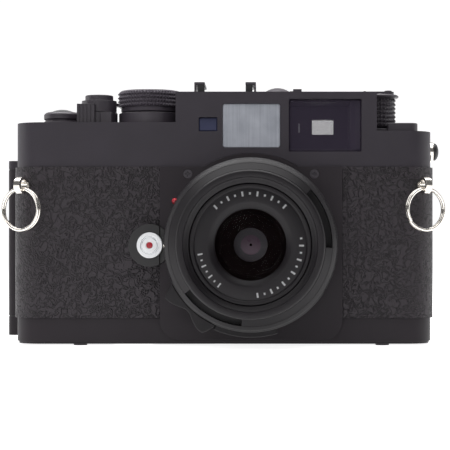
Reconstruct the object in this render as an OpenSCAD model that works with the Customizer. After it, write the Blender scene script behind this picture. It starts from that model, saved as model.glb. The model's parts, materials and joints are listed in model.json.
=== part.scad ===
// Rangefinder camera for 35 mm film, with a small wide lens on a bayonet mount.
// Right-handed frame in millimetres: +Z up, the lens looks along -Y, +X is the rewind side.
// The origin is the mouth of the tripod socket, in the underside of the bottom cover.

/* [Body] */
// Width across the leather covering
body_w = 135.5; // [134:0.5:138]
// Y of the leather on the front
front_y = -14; // [-14.5:0.1:-13.8]
// Y of the leather on the back door
back_y = 15; // [15:0.1:16]
// Radius of the body's four upright corners
end_r = 9.5; // [8:0.5:11]
// Thickness of the leather
skin = 0.8; // [0.6:0.1:0.9]
// How far the metal covers sit inside the leather's outline
cover_inset = 0.75; // [0.5:0.05:1]
// Wall of the pressed covers
wall = 1.2; // [1:0.1:1.4]

/* [Heights] */
// Top of the bottom cover
base_z = 8.2; // [7:0.1:9]
// Lower edge of the top cover
seam_z = 56.7; // [56:0.1:57.5]
// Top of the shoulder on the advance side
shoulder_l = 70.9; // [70:0.1:72]
// Top of the shoulder on the rewind side
shoulder_r = 68.2; // [67:0.1:69]
// Top of the finder housing
housing_z = 80.7; // [80:0.1:81.5]

/* [Finder housing] */
// Left end of the raised housing
housing_l = -15.3; // [-16:0.1:-14.5]
// Right end of the raised housing
housing_r = 49.1; // [48:0.1:50]
// Centre of the finder's eyepiece across the body
eye_x = 32.6; // [31:0.1:34]
// Height of the finder's eyepiece
eye_z = 71.1; // [70:0.1:72]

/* [Lens] */
// Lens axis across the body
lens_x = 8.9; // [8:0.1:10]
// Height of the lens axis
lens_z = 31.6; // [31:0.1:32]
// Y of the bayonet's flange face
flange_y = -17.3; // [-17.5:0.1:-17]
// Radius of the throat of the mount
throat_r = 21.95; // [21.5:0.05:22.2]
// Radius of the focus ring
focus_r = 27.2; // [26.5:0.1:27.6]
// Length from the flange to the front rim
lens_len = 29.8; // [29:0.1:31]
// Bore radius of the filter thread
filter_r = 19.5; // [19.3:0.05:19.6]

/* [Top controls] */
// Axis of the advance lever and the release button
hub_x = -40.8; // [-42:0.1:-40]
// Depth position of that axis
hub_y = -2; // [-3:0.1:-1]
// Axis of the shutter speed dial
dial_x = -24.3; // [-24.5:0.1:-24]
// Radius of the shutter speed dial
dial_r = 10.6; // [10:0.1:10.6]
// Axis of the frame counter
counter_x = -53.2; // [-54:0.1:-52.5]
// Axis of the rewind knob and the film cassette
rewind_x = 50.3; // [50:0.1:50.6]
// Depth position of the rewind axis
rewind_y = 0.6; // [0.4:0.1:0.8]
// Axis of the frame-line selector
selector_x = 17.4; // [16:0.1:19]
// Centre of the accessory shoe
shoe_x = 0.45; // [0:0.05:1]

/* [Straps] */
// Height of the strap lugs
lug_z = 50.6; // [48:0.1:51]
// Turn of each lug's post away from straight ahead
lug_turn = 25; // [24:1:32]
// Radius of a split ring to the middle of its wire
ring_r = 6.6; // [6:0.1:7]
// Radius of a split ring's wire
wire_r = 0.5; // [0.4:0.05:0.52]

/* [Fits] */
// Radial clearance of a shaft in its bearing
fit = 0.06; // [0.03:0.01:0.09]
// Gap between pieces that pass each other
gap = 0.3; // [0.2:0.05:0.4]

/* [Hidden] */
$fn = 96;
big = 200;

casting_y = front_y + skin;      // front face of the casting, behind the leather
film_y = 10.5;                   // film plane, on the casting's rails
door_y = film_y + gap;           // front edge of the back door
panel_y = -15.2;                 // front face of the front panel
panel_l = -20.2;                 // left edge of the front panel
panel_r = 38.0;                  // right edge of the front panel
panel_z = 1.5;                   // lower edge of the front panel
panel_corner = 6;
arch_r = 29.4;                   // arch in the top cover's lower edge
mount_r = 24.5;                  // outside of the mount ring
gate_w = 36;                     // film gate
gate_h = 24;
cassette_r = 12.6;
takeup_x = -49.5;
takeup_r = 11.8;
chamber_z = base_z + 0.4;        // floor of the film chambers
chamber_top = 55.3;
sprocket_x = -27.5;
sprocket_y = 4.6;
battery_x = -29;
battery_y = -5.2;
battery_r = 6;
socket_r = 3.175;                // quarter-inch tripod thread
release_x = 24;                  // rewind release button in the base
release_y = 3;
hinge_x = -69.3;                 // axis of the back door
hinge_y = 5.0;
hinge_r = 2.1;
pin_r = 0.8;
button_x = -23.3;                // lens release button
button_z = 31.5;
button_r = 4.1;
cut_takeup = -35.9;              // where the casting's sections meet
cut_shutter = -19.75;
cut_cassette = 37;
lug_x = 64.35;
lug_y = -15.6;
lug_hole = 1.75;
ring_drop = 1.0;                 // split ring's wire below the middle of the lug's hole
leaf_h = 13;                     // height of one leaf of the shutter's curtain
dial_y = 0;
foot_x = [-46, 51];              // screws in the base, whose heads are the feet
foot_y = [-10.2, 9.5];
foot_h = 0.5;
counter_y = 1.5;
shoe_w = 19.9;
handle_x = 3.4;                  // crank handle from the rewind axis
arm_z = 77.45;                   // underside of the advance lever's arm
arm_h = 1.05;
arm_w = 3;
arm_steps = 12;
counter_r = 6.1;
counter_h = 4.2;
dome_r = 8.5;                    // glass over the frame counter
dome_h = 5.3;
power_r = 6;
dial_top = 81.9;
knob_r = 5.95;                   // rewind knob and the cap on it
knob_cap_r = 6.8;
tab_a0 = 207;                    // ends of the focusing tab about the lens axis
tab_a1 = 246;

// Outline of the body seen from above, drawn in by a distance.
module plan(inset = 0) {
    r = end_r - inset;
    x = body_w / 2 - end_r;
    translate([-x, front_y + inset]) square([2 * x, back_y - front_y - 2 * inset]);
    translate([-x - r, front_y + end_r]) square([2 * (x + r), back_y - front_y - 2 * end_r]);
    for (side = [-1, 1], y = [front_y + end_r, back_y - end_r])
        translate([side * x, y]) circle(r);
}

// The body's outline as a solid between two heights.
module slab(z0, z1, inset = 0) {
    translate([0, 0, z0]) linear_extrude(z1 - z0) plan(inset);
}

// A box given by its two opposite corners.
module block(low, high) {
    translate(low) cube([high[0] - low[0], high[1] - low[1], high[2] - low[2]]);
}

// A shape drawn in X and Z, as thick as from y0 to y1.
module facing(y0, y1) {
    translate([0, y1, 0]) rotate([90, 0, 0]) linear_extrude(y1 - y0) children();
}

// A rectangle in X and Z with rounded corners.
module pane(x0, x1, z0, z1, r) {
    translate([x0 + r, z0]) square([x1 - x0 - 2 * r, z1 - z0]);
    translate([x0, z0 + r]) square([x1 - x0, z1 - z0 - 2 * r]);
    for (x = [x0 + r, x1 - r], z = [z0 + r, z1 - r]) translate([x, z]) circle(r, $fn = 32);
}

// An upright cylinder between two heights.
module post(x, y, r, z0, z1) {
    translate([x, y, z0]) cylinder(r = r, h = z1 - z0);
}

// A ring between two heights.
module collar(x, y, r0, r1, z0, z1) {
    difference() {
        post(x, y, r1, z0, z1);
        post(x, y, r0, z0 - 1, z1 + 1);
    }
}

// A body of revolution about the lens axis. Points are [radius, distance ahead of the flange].
module turned(points) {
    translate([lens_x, flange_y, lens_z]) rotate([90, 0, 0]) rotate_extrude() polygon(points);
}

// A straight bore or disc on the lens axis, between two distances ahead of the flange.
module disc(r, h0, h1) {
    translate([lens_x, flange_y - h0, lens_z]) rotate([90, 0, 0]) cylinder(r = r, h = h1 - h0);
}

// A sector about the lens axis, between two radii and two angles.
module sector(r0, r1, a0, a1, h0, h1) {
    translate([lens_x, flange_y - h0, lens_z]) rotate([90, 0, 0]) rotate([0, 0, a0])
        rotate_extrude(angle = a1 - a0) translate([r0, 0]) square([r1 - r0, h1 - h0]);
}

// ---- body -------------------------------------------------------------------------------

// The whole die casting. Its four sections meet face to face between the chambers.
module casting() {
    color("dimgray") difference() {
        union() {
            intersection() {
                slab(base_z + 0.1, seam_z - 0.2, skin);
                block([-big, -big, 0], [big, film_y, big]);
            }
            intersection() {
                slab(wall + 0.3, base_z + 0.1, cover_inset + wall + 0.1);
                block([-big, -big, 0], [big, film_y, big]);
            }
        }
        // film cassette chamber, with a recess below it for the end of the spool
        post(rewind_x, rewind_y, cassette_r, chamber_z, chamber_top);
        block([rewind_x - cassette_r, rewind_y, chamber_z],
            [rewind_x + cassette_r, film_y + 1, chamber_top]);
        post(rewind_x, rewind_y, 6, chamber_z - 2.5, chamber_z + 1);
        // take-up chamber
        post(takeup_x, rewind_y, takeup_r, chamber_z, chamber_top);
        block([takeup_x - takeup_r, rewind_y, chamber_z],
            [takeup_x + takeup_r, film_y + 1, chamber_top]);
        // sprocket recess, open to the film path
        post(sprocket_x, sprocket_y, 6.6, 14, 52);
        block([sprocket_x - 6.6, sprocket_y, 14], [sprocket_x + 6.6, film_y + 1, 52]);
        // bay for the shutter unit, open at the top
        block([-18.6, -1.2, 5.6], [36.3, 9.2, big]);
        // lens throat and film gate
        disc(throat_r, -(9 - flange_y), 10);
        block([lens_x - gate_w / 2, 8, lens_z - gate_h / 2],
            [lens_x + gate_w / 2, film_y + 1, lens_z + gate_h / 2]);
        // bearings
        post(rewind_x, rewind_y, 2 + fit, chamber_top - 1, seam_z);
        post(takeup_x, rewind_y, 1.5 + fit, 5, chamber_top + 1);
        post(sprocket_x, sprocket_y, 1.5 + fit, 12, 54);
        // battery chamber, tripod insert and rewind release
        post(battery_x, battery_y, battery_r, 0, 12.6);
        post(0, 0, 5.05, 0, 5.5);
        post(release_x, release_y, 2.6, 0, 4.3);
        // guide of the lens release pin
        facing(-20, -9.8) translate([button_x, button_z]) circle(1.5 + fit);
        // seats of the strap lugs
        for (side = [-1, 1]) lug_bar(side, 1.66, -6, 0);
    }
}

module casting_section(x0, x1) {
    intersection() {
        casting();
        block([x0, -big, -1], [x1, big, big]);
    }
}

module casting_takeup() { casting_section(-big, cut_takeup); }
module casting_sprocket() { casting_section(cut_takeup, cut_shutter); }
module casting_centre() { casting_section(cut_shutter, cut_cassette); }
module casting_cassette() { casting_section(cut_cassette, big); }

module top_cover() {
    color("#454347") difference() {
        union() {
            slab(seam_z, shoulder_r, cover_inset);
            intersection() {
                slab(seam_z, shoulder_l, cover_inset);
                block([-big, -big, 0], [housing_l + 5, big, big]);
            }
            intersection() {
                slab(seam_z, housing_z, cover_inset);
                block([housing_l, -big, 0], [housing_r, big, big]);
            }
            // upper knuckle of the back door's hinge
            post(hinge_x, hinge_y, hinge_r, seam_z, 59.4);
            block([hinge_x, hinge_y - hinge_r, seam_z], [hinge_x + 4, hinge_y + hinge_r, 59.4]);
        }
        // hollow inside
        difference() {
            union() {
                slab(seam_z - 1, shoulder_r - wall, cover_inset + wall);
                intersection() {
                    slab(seam_z, shoulder_l - wall, cover_inset + wall);
                    block([-big, -big, 0], [housing_l + 3, big, big]);
                }
                intersection() {
                    slab(seam_z, housing_z - wall, cover_inset + wall);
                    block([housing_l + wall, -big, 0], [housing_r - wall, big, big]);
                }
            }
            // walls round the dial and the rewind knob
            post(dial_x, dial_y, dial_r + 0.8 + wall, shoulder_l - wall, big);
            post(rewind_x, rewind_y, 8.4, shoulder_r - wall, big);
            post(hinge_x, hinge_y, hinge_r + wall, 0, big);
        }
        // hollows in the housing for the dial and the rewind knob
        post(dial_x, dial_y, dial_r + 0.8, shoulder_l, big);
        post(rewind_x, rewind_y, 7.2, shoulder_r, big);
        // arch over the lens mount
        facing(-20, casting_y + 2) translate([lens_x, lens_z]) circle(arch_r);
        // windows
        facing(-20, -8) {
            pane(-7.9, -1.9, 68.0, 72.5, 0.4);
            pane(-0.3, 18.2, 62.8, 76.9, 0.9);
            pane(20.9, 44.2, 61.5, 78.4, 0.5);
        }
        facing(8, 20) translate([eye_x, eye_z]) circle(4.7);
        // shafts that come up through the top
        post(rewind_x, rewind_y, 2.5, 60, big);
        post(hub_x, hub_y, 3.0, 60, big);
        post(dial_x, dial_y, 2.5, 60, big);
        post(counter_x, counter_y, 4.6, 60, big);
        post(selector_x, 0, 2.0 + fit, 75, big);
        post(hinge_x, hinge_y, pin_r, 0, 58.4);
        translate([60, 1, 62.2]) rotate([0, 90, 0]) cylinder(r = 2.4, h = 20);
    }
}

module bottom_cover() {
    color("#38343a") difference() {
        union() {
            slab(0.7, base_z, cover_inset);
            slab(0, 0.8, cover_inset + 0.5);
            // lower knuckle of the back door's hinge
            post(hinge_x, hinge_y, hinge_r, 2, base_z);
            block([hinge_x, hinge_y - hinge_r, 2], [hinge_x + 4, hinge_y + hinge_r, base_z]);
        }
        difference() {
            slab(wall, base_z + 1, cover_inset + wall);
            post(hinge_x, hinge_y, hinge_r + wall, 0, big);
        }
        // seat of the front panel
        facing(-20, casting_y + 0.05) panel_outline(0.05);
        post(battery_x, battery_y, 6.8, -1, 3);
        post(0, 0, 5.05, -1, 3);
        post(release_x, release_y, 2.6, -1, 3);
        post(hinge_x, hinge_y, pin_r, 3, big);
        for (x = foot_x, y = foot_y) post(x, y, 1.1, -1, 0.5);
    }
}

module leather(x0, x1, y1) {
    difference() {
        intersection() {
            difference() {
                slab(base_z + 0.05, seam_z - 0.05, 0);
                slab(0, big, skin);
            }
            block([x0, -big, 0], [x1, y1, big]);
        }
        for (side = [-1, 1]) lug_bar(side, 1.66, -6, 6);
        facing(-20, 0) translate([button_x, button_z]) circle(6.85);
    }
}

module body_leather() {
    color("#3e3a3e") {
        leather(-big, panel_l - 0.1, hinge_y - 2.4);
        leather(panel_r + 0.1, big, film_y);
    }
}

// Outline of the front panel: rounded at the foot, with a round head over the mount.
module panel_outline(grow = 0) {
    x0 = panel_l - grow;
    x1 = panel_r + grow;
    z0 = panel_z - grow;
    difference() {
        union() {
            translate([x0, z0 + panel_corner])
                square([x1 - x0, seam_z - 0.1 - z0 - panel_corner]);
            translate([x0 + panel_corner, z0]) square([x1 - x0 - 2 * panel_corner, big / 4]);
            for (x = [x0 + panel_corner, x1 - panel_corner])
                translate([x, z0 + panel_corner]) circle(panel_corner);
            translate([lens_x, lens_z]) circle(arch_r - 0.2);
        }
        translate([x0 - 20, z0 - 20]) square([20, big]);
        translate([x1, z0 - 20]) square([20, big]);
        translate([x0 - 1, z0 - 20]) square([x1 - x0 + 2, 20]);
    }
}

module front_panel() {
    color("#3b383e") difference() {
        facing(panel_y, casting_y) panel_outline();
        disc(mount_r + 0.05, -10, 10);
        facing(-20, 0) translate([button_x, button_z]) circle(6.85);
        for (side = [-1, 1]) translate([lens_x + side * 20.2, 0, 54.3]) {
            facing(-20, panel_y + 1.05) circle(1.5);
            facing(-20, 0) circle(0.725);
        }
        facing(-20, 0) translate([lens_x - 24.3, lens_z + 14]) circle(1);
    }
}

// A pan-head screw with a cross slot. It points down its own +Z.
module screw(r, head, shank) {
    difference() {
        union() {
            cylinder(r = r, h = head);
            translate([0, 0, head]) cylinder(r = r * 0.5, h = shank);
        }
        for (a = [0, 90]) rotate([0, 0, a])
            translate([-r * 0.6, -0.2, -1]) cube([r * 1.2, 0.4, 1 + head * 0.6]);
    }
}

module cover_screws() {
    color("#2c2a2e") {
        for (side = [-1, 1]) translate([lens_x + side * 20.2, panel_y + 0.15, 54.3])
            rotate([-90, 0, 0]) screw(1.45, 0.9, 0.9);
        for (x = foot_x, y = foot_y) translate([x, y, -foot_h]) screw(2.2, foot_h, 0.5);
    }
}

module mount_ring() {
    color("silver") difference() {
        disc(mount_r, flange_y - casting_y, 0);
        disc(throat_r, -10, 10);
        // gaps for the three claws of the lens
        for (a = [30, 150, 270]) sector(15, 23.2, a, a + 40, -2.2, -0.9);
    }
}

module mount_index() {
    color("crimson") translate([lens_x - 24.3, panel_y, lens_z + 14]) {
        sphere(r = 1, $fn = 48);
        rotate([-90, 0, 0]) cylinder(r = 0.95, h = 1.5);
    }
}

module release_bezel() {
    color("#1f1d20") difference() {
        facing(-17.1, casting_y) translate([button_x, button_z]) circle(6.8);
        facing(-20, -14.0) translate([button_x, button_z]) circle(button_r + fit);
        facing(-20, 0) translate([button_x, button_z]) circle(1.5 + fit);
        block([panel_l, -20, 0], [0, panel_y - 0.9, big]);
    }
}

// Clear glass of the rangefinder, of the finder and over the frame counter.
module clear_windows() {
    color("#3c3f5f") {
        facing(-12.7, -11.5) {
            pane(-7.9, -1.9, 68.0, 72.5, 0.4);
            pane(20.9, 44.2, 61.5, 78.4, 0.5);
        }
        intersection() {
            translate([counter_x, counter_y, shoulder_l + dome_h - dome_r]) sphere(r = dome_r);
            post(counter_x, counter_y, 3.95, shoulder_l + 2.6, big);
        }
    }
}

module frameline_window() {
    color("#96989e") facing(-12.9, -11.7) pane(-0.3, 18.2, 62.8, 76.9, 0.9);
}

// Black box behind the finder's front window, open to the eyepiece.
module finder_tunnel() {
    color("black") difference() {
        union() {
            block([20.3, -11.4, 61.0], [44.8, -8.2, 78.9]);
            block([20.6, -11.4, 61.2], [41.6, 11.6, 78.6]);
        }
        block([21.1, -12, 61.8], [44.0, -9, 78.1]);
        block([21.4, -12, 62.0], [40.8, 10.4, 77.8]);
        block([eye_x - 3.6, 0, eye_z - 2.5], [eye_x + 3.6, 20, eye_z + 2.5]);
    }
}

module eyepiece_ring() {
    color("black") difference() {
        union() {
            facing(12.2, 15) translate([eye_x, eye_z]) circle(4.65);
            facing(back_y - cover_inset, 16.8) translate([eye_x, eye_z]) circle(7);
        }
        facing(8, 20) pane(eye_x - 3.7, eye_x + 3.7, eye_z - 2.6, eye_z + 2.6, 0.5);
        translate([eye_x, 15.6, eye_z]) rotate([-90, 0, 0]) cylinder(r = 5.6, h = 3);
    }
}

// Shoe for a flash or a finder, with the contact in its floor.
module accessory_shoe() {
    color("silver") translate([shoe_x, 0, housing_z]) {
        difference() {
            translate([-shoe_w / 2, -9, 0]) cube([shoe_w, 18, 3.5]);
            translate([-shoe_w / 2 + 0.6, -10, 0.4]) cube([shoe_w - 1.2, 19, 2.2]);
            translate([-6.55, -10, 0.4]) cube([13.1, 19, 5]);
        }
        translate([0, 0, 0.4]) cylinder(r = 1.6, h = 0.6);
    }
}

module counter_bezel() {
    color("#2b292c") difference() {
        union() {
            post(counter_x, counter_y, counter_r, shoulder_l, shoulder_l + counter_h);
            post(counter_x, counter_y, 4.6, shoulder_l - wall - 0.8, shoulder_l + 1);
        }
        post(counter_x, counter_y, 4.0, shoulder_l - wall, big);
        post(counter_x, counter_y, 1.0 + fit, 60, big);
    }
}

module counter_disc() {
    color("white") {
        post(counter_x, counter_y, 3.6, shoulder_l - 0.2, shoulder_l + 0.6);
        post(counter_x, counter_y, 1.0, shoulder_l - 4.4, shoulder_l);
    }
}

// Bearing tube of the advance lever and the release button.
module release_post() {
    color("gray") difference() {
        union() {
            post(hub_x, hub_y, 3.0, 66, 76.4);
            post(hub_x, hub_y, 6.0, 67.6, shoulder_l - wall);
        }
        post(hub_x, hub_y, 1.9 + fit, 69.4, big);
    }
}

module power_switch() {
    color("#242226") difference() {
        union() {
            post(hub_x, hub_y, power_r, shoulder_l + 0.2, 74.6);
            // ribbed finger block
            for (i = [0:4]) block([hub_x - 6.5 + i * 1.2, hub_y - 7.4, shoulder_l + 0.2],
                [hub_x - 5.75 + i * 1.2, hub_y - 4, 77.2]);
            block([hub_x - 6.2, hub_y - 7.1, shoulder_l + 0.2], [hub_x - 0.8, hub_y - 4, 77.2]);
            block([hub_x + 1.2, hub_y - 6.9, shoulder_l + 0.2], [hub_x + 4.6, hub_y - 3, 74.6]);
        }
        post(hub_x, hub_y, 3.0 + fit, 60, big);
        // room for the lever's hub above the collar
        post(hub_x, hub_y, 6.1, 74.6, big);
    }
}

// The lever's arm runs from the hub to the back, behind the speed dial.
module advance_lever() {
    color("#2b292c") difference() {
        union() {
            post(hub_x, hub_y, 5.7, 74.8, 78.6);
            translate([hub_x, hub_y, arm_z]) linear_extrude(arm_h) polygon([
                for (i = [0:arm_steps]) arm_edge(i, 1),
                for (i = [arm_steps:-1:0]) arm_edge(i, -1)]);
        }
        post(hub_x, hub_y, 3.0 + fit, 70, big);
        post(hub_x, hub_y, 4.57 + 0.15, 76.8, big);
    }
}

// Middle of the advance lever's arm from the hub, its direction, and its two edges.
function arm_mid(i) = [1 + 17.2 * i / arm_steps, 4.4 + 11.6 * sin(90 * i / arm_steps)];
function arm_dir(i) = atan2(11.6 * cos(90 * i / arm_steps) * PI / 2, 17.2);
function arm_edge(i, side) =
    arm_mid(i) + side * arm_w / 2 * [-sin(arm_dir(i)), cos(arm_dir(i))];

module lever_tip() {
    color("#19181a") difference() {
        union() {
            block([hub_x + 17.4, 12.3, 72.8], [hub_x + 22.8, 16.1, 79]);
            post(hub_x + 22.8, 14.2, 1.9, 72.8, 79);
        }
        block([hub_x, 0, arm_z], [hub_x + 18.2, 20, arm_z + arm_h]);
    }
}

module shutter_button() {
    color("#2b292c") difference() {
        union() {
            post(hub_x, hub_y, 4.57, 78.2, 80.4);
            post(hub_x, hub_y, 1.9, 71.0, 78.4);
        }
        // thread for a cable release
        post(hub_x, hub_y, 1.4, 76.4, big);
    }
}

module dial_base() {
    color("#2b292c") {
        post(dial_x, dial_y, 10.2, shoulder_l, 74.6);
        post(dial_x, dial_y, 2.45, 62, dial_top - 1.6);
    }
}

module speed_dial() {
    color("#242226") difference() {
        union() {
            post(dial_x, dial_y, 9.5, 74.9, 76.5);
            post(dial_x, dial_y, dial_r, 76.5, dial_top);
        }
        post(dial_x, dial_y, 2.45 + fit, 70, dial_top - 1.3);
    }
}

module rewind_base() {
    color("#2b292c") difference() {
        union() {
            post(rewind_x, rewind_y, 7.1, shoulder_r, 69.5);
            block([53, rewind_y - 8, shoulder_r], [59.9, rewind_y + 8, 71.2]);
            block([53, rewind_y - 5, shoulder_r], [62.9, rewind_y + 5, 71.2]);
            for (y = [-5, 5]) post(59.9, rewind_y + y, 3, shoulder_r, 71.2);
        }
        post(rewind_x, rewind_y, knob_r + 0.35, 69.5, big);
        post(rewind_x, rewind_y, 2.5, 60, big);
    }
}

module rewind_shaft() {
    color("silver") difference() {
        post(rewind_x, rewind_y, 2, 49, 79.6);
        // fork that turns the cassette's spool
        block([rewind_x - 0.7, -5, 48], [rewind_x + 0.7, 6, 52]);
    }
}

module rewind_knob() {
    color("#242226") difference() {
        union() {
            post(rewind_x, rewind_y, knob_r, 69.8, 79.7);
            post(rewind_x, rewind_y, knob_cap_r, 79.7, 80.7);
        }
        post(rewind_x, rewind_y, 2, 60, 79.6);
        // pocket for the handle when the crank is folded
        post(rewind_x + handle_x, rewind_y, 2.1, 78.6, big);
    }
}

module rewind_crank() {
    color("#2b292c") difference() {
        union() {
            block([rewind_x - 4.4, rewind_y - 1.9, 81], [rewind_x + handle_x, rewind_y + 1.9, 81.9]);
            post(rewind_x + handle_x, rewind_y, 1.9, 81, 81.9);
            translate([rewind_x - 4.4, rewind_y - 1.9, 81.45]) rotate([-90, 0, 0])
                cylinder(r = 0.6, h = 3.8);
        }
        post(rewind_x + handle_x, rewind_y, 0.7 + fit, 70, big);
    }
}

module crank_handle() {
    color("#2b292c") {
        post(rewind_x + handle_x, rewind_y, 1.3, 79.0, 80.9);
        post(rewind_x + handle_x, rewind_y, 0.7, 80, 82.1);
        post(rewind_x + handle_x, rewind_y, 1.2, 82.0, 82.3);
    }
}

// Sleeve that the rewind shaft slides through and turns with.
module rewind_bush() {
    color("silver") collar(rewind_x, rewind_y, 2 + fit, 4.5, seam_z + 0.1, seam_z + 3.4);
}

module selector_lever() {
    color("#2b292c") {
        intersection() {
            translate([selector_x, 0, 83.1 - 7]) sphere(r = 7);
            post(selector_x, 0, 5, housing_z + 0.2, big);
        }
        block([selector_x + 4, -1.2, housing_z + 0.2], [selector_x + 7.9, 1.2, 82]);
        block([selector_x + 5.1, -1.2, housing_z + 0.2], [selector_x + 7.9, 1.2, 82.7]);
        post(selector_x, 0, 2.0, 77.5, housing_z + 1);
    }
}

// Flash socket in the cover's end, with its plug cap.
module sync_socket() {
    color("silver") translate([66, 1, 62.2]) rotate([0, 90, 0]) {
        difference() {
            union() {
                translate([0, 0, 1.0]) cylinder(r = 3.3, h = 1.4);
                translate([0, 0, -2]) cylinder(r = 2.35, h = 4);
            }
            translate([0, 0, 0.5]) cylinder(r = 1.9, h = 5);
        }
        translate([0, 0, 0.6]) cylinder(r = 1.85, h = 2);
        translate([0, 0, 2.45]) intersection() {
            cylinder(r = 2.9, h = 5);
            translate([0, 0, -1.3]) sphere(r = 3.15);
        }
    }
}

// A bar along a lug's post, from one distance to another from the middle of its hole.
module lug_bar(side, r, d0, d1) {
    translate([side * lug_x, lug_y, lug_z]) rotate([0, 0, side * lug_turn])
        rotate([90, 0, 0]) translate([0, 0, d0]) cylinder(r = r, h = d1 - d0);
}

module strap_lugs() {
    color("silver") for (side = [-1, 1]) difference() {
        union() {
            lug_bar(side, 1.6, -6, -2);
            translate([side * lug_x, lug_y, lug_z]) rotate([0, 0, side * lug_turn])
                rotate([0, 90, 0]) translate([0, 0, -1.1]) cylinder(r = 2.7, h = 2.2);
        }
        translate([side * lug_x, lug_y, lug_z]) rotate([0, 0, side * lug_turn])
            rotate([0, 90, 0]) translate([0, 0, -5]) cylinder(r = lug_hole, h = 10);
    }
}

// Split ring: two turns of wire side by side, hanging in the lug's hole.
module split_ring(side) {
    color("silver") translate([side * lug_x, lug_y, lug_z - ring_drop - ring_r])
        rotate([0, 0, side * lug_turn]) rotate([90, 0, 0])
            for (turn = [-1, 1]) translate([0, 0, turn * wire_r])
                rotate_extrude() translate([ring_r, 0]) circle(wire_r, $fn = 32);
}

module strap_ring_left() { split_ring(-1); }
module strap_ring_right() { split_ring(1); }

module tripod_socket() {
    color("silver") difference() {
        post(0, 0, 5, 0, 5.4);
        post(0, 0, socket_r, -1, 4.8);
    }
}

module battery_cover() {
    color("silver") difference() {
        union() {
            post(battery_x, battery_y, 6.5, 0.15, 1.5);
            post(battery_x, battery_y, battery_r - 0.1, 1.4, 3.2);
        }
        block([battery_x - 4.5, battery_y - 0.6, -1], [battery_x + 4.5, battery_y + 0.6, 0.8]);
    }
}

module rewind_release() {
    color("silver") post(release_x, release_y, 2.4, 0.2, 2.9);
}

// ---- film transport and shutter ---------------------------------------------------------

module takeup_spool() {
    color("#1b1a1c") difference() {
        union() {
            post(takeup_x, rewind_y, 6.5, 9.2, 54.6);
            post(takeup_x, rewind_y, 9.5, 9.2, 10.4);
            post(takeup_x, rewind_y, 1.5, 5.6, 56.0);
        }
        for (a = [20:60:320]) translate([takeup_x, rewind_y, 0]) rotate([0, 0, a])
            block([5.4, -0.5, 12], [8, 0.5, 53]);
    }
}

module sprocket_shaft() {
    color("silver") {
        post(sprocket_x, sprocket_y, 4.2, 15, 51);
        post(sprocket_x, sprocket_y, 1.5, 12.6, 53.4);
        for (z = [17.2, 45.6], a = [0:45:315])
            translate([sprocket_x, sprocket_y, z]) rotate([0, 0, a])
                block([0, -0.7, 0], [5.7, 0.7, 1.8]);
        for (z = [16.4, 44.8]) post(sprocket_x, sprocket_y, 5.0, z, z + 3.4);
    }
}

module shutter_frame() {
    color("#26262a") difference() {
        block([-18.4, -1.0, 5.7], [36.1, 9.0, 56.2]);
        block([lens_x - gate_w / 2 - 0.4, -2, lens_z - gate_h / 2 - 0.4],
            [lens_x + gate_w / 2 + 0.4, 10, lens_z + gate_h / 2 + 0.4]);
        // slots in which the curtain's blades run and stack
        block([lens_x - 20, 2.7, 6.1], [lens_x + 20, 5.3, 45.2]);
    }
}

// A leaf of the first curtain. The leaves drop and stack below the gate to open it.
module leaf(y, z) {
    color("#3a3a40") block([lens_x - 19.4, y, z], [lens_x + 19.4, y + 0.3, z + leaf_h]);
}

module curtain_upper() { leaf(3.4, 31.3); }
module curtain_lower() { leaf(4.2, 19.0); }

// ---- back door --------------------------------------------------------------------------

module back_door() {
    color("#2c2a2e") difference() {
        union() {
            intersection() {
                slab(base_z + gap, seam_z - gap, 0.5);
                block([hinge_x + 3.2, door_y, 0], [big, big, big]);
            }
            // knuckle on the hinge pin, and the web that joins it to the door
            post(hinge_x, hinge_y, hinge_r, base_z + gap, seam_z - gap);
            block([hinge_x - hinge_r, hinge_y, base_z + gap],
                [hinge_x + 1.2, door_y + 1, seam_z - gap]);
            block([hinge_x - 0.2, door_y, base_z + gap], [hinge_x + 9, door_y + 1.4, seam_z - gap]);
        }
        intersection() {
            slab(base_z + 1.6, seam_z - 1.6, 2.2);
            block([hinge_x + 8, 0, 0], [big, 13.2, big]);
        }
        post(hinge_x, hinge_y, pin_r + fit, 0, big);
        // window that shows the film cassette
        facing(10, 20) pane(rewind_x - 3, rewind_x + 3, 20, 42, 2);
    }
}

module door_leather() {
    color("#3e3a3e") difference() {
        intersection() {
            difference() {
                slab(base_z + gap, seam_z - gap, 0);
                slab(0, big, 0.5);
            }
            block([hinge_x + 5, door_y, 0], [big, big, big]);
        }
        facing(10, 20) pane(rewind_x - 4, rewind_x + 4, 19, 43, 3);
        facing(10, 20) pane(-60, -40, 26, 50, 3);
    }
}

module thumb_rest() {
    color("#1d1c1f") difference() {
        facing(14.5, 17) pane(-59.9, -40.1, 26.1, 49.9, 3);
        post(takeup_x, 27, 11, 0, big);
    }
}

module pressure_plate() {
    color("#202024") block([lens_x - 27, film_y + 0.35, lens_z - 17.5],
        [lens_x + 27, film_y + 1.5, lens_z + 17.5]);
}

module hinge_pin() {
    color("silver") post(hinge_x, hinge_y, pin_r, 3.2, 58.3);
}

// ---- lens -------------------------------------------------------------------------------

// Bayonet tail, flange and the tube that carries the helicoid.
module lens_base() {
    color("#242226") difference() {
        union() {
            disc(throat_r - 0.2, -5, 0.1);
            disc(26, 0.05, 3.4);
            disc(22.1, 3, 12.4);
        }
        disc(19.9, -10, 20);
    }
}

module focus_ring() {
    color("#242226") turned([[22.16, 3.7], [26.4, 3.7], [focus_r, 4.3], [focus_r, 11.4],
        [26.6, 12.2], [22.16, 12.2]]);
}

// Edge of the focusing tab: two horns with a scoop for the finger between them.
function tab_r(a) = a < 211 ? 28.0 + 0.85 * (a - tab_a0)
    : a > 241 ? 31.4 - 0.7 * (a - 241)
    : 28.5 + 2.9 * pow(abs(cos(180 * (a - 211) / 30)), 1.6);

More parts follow.
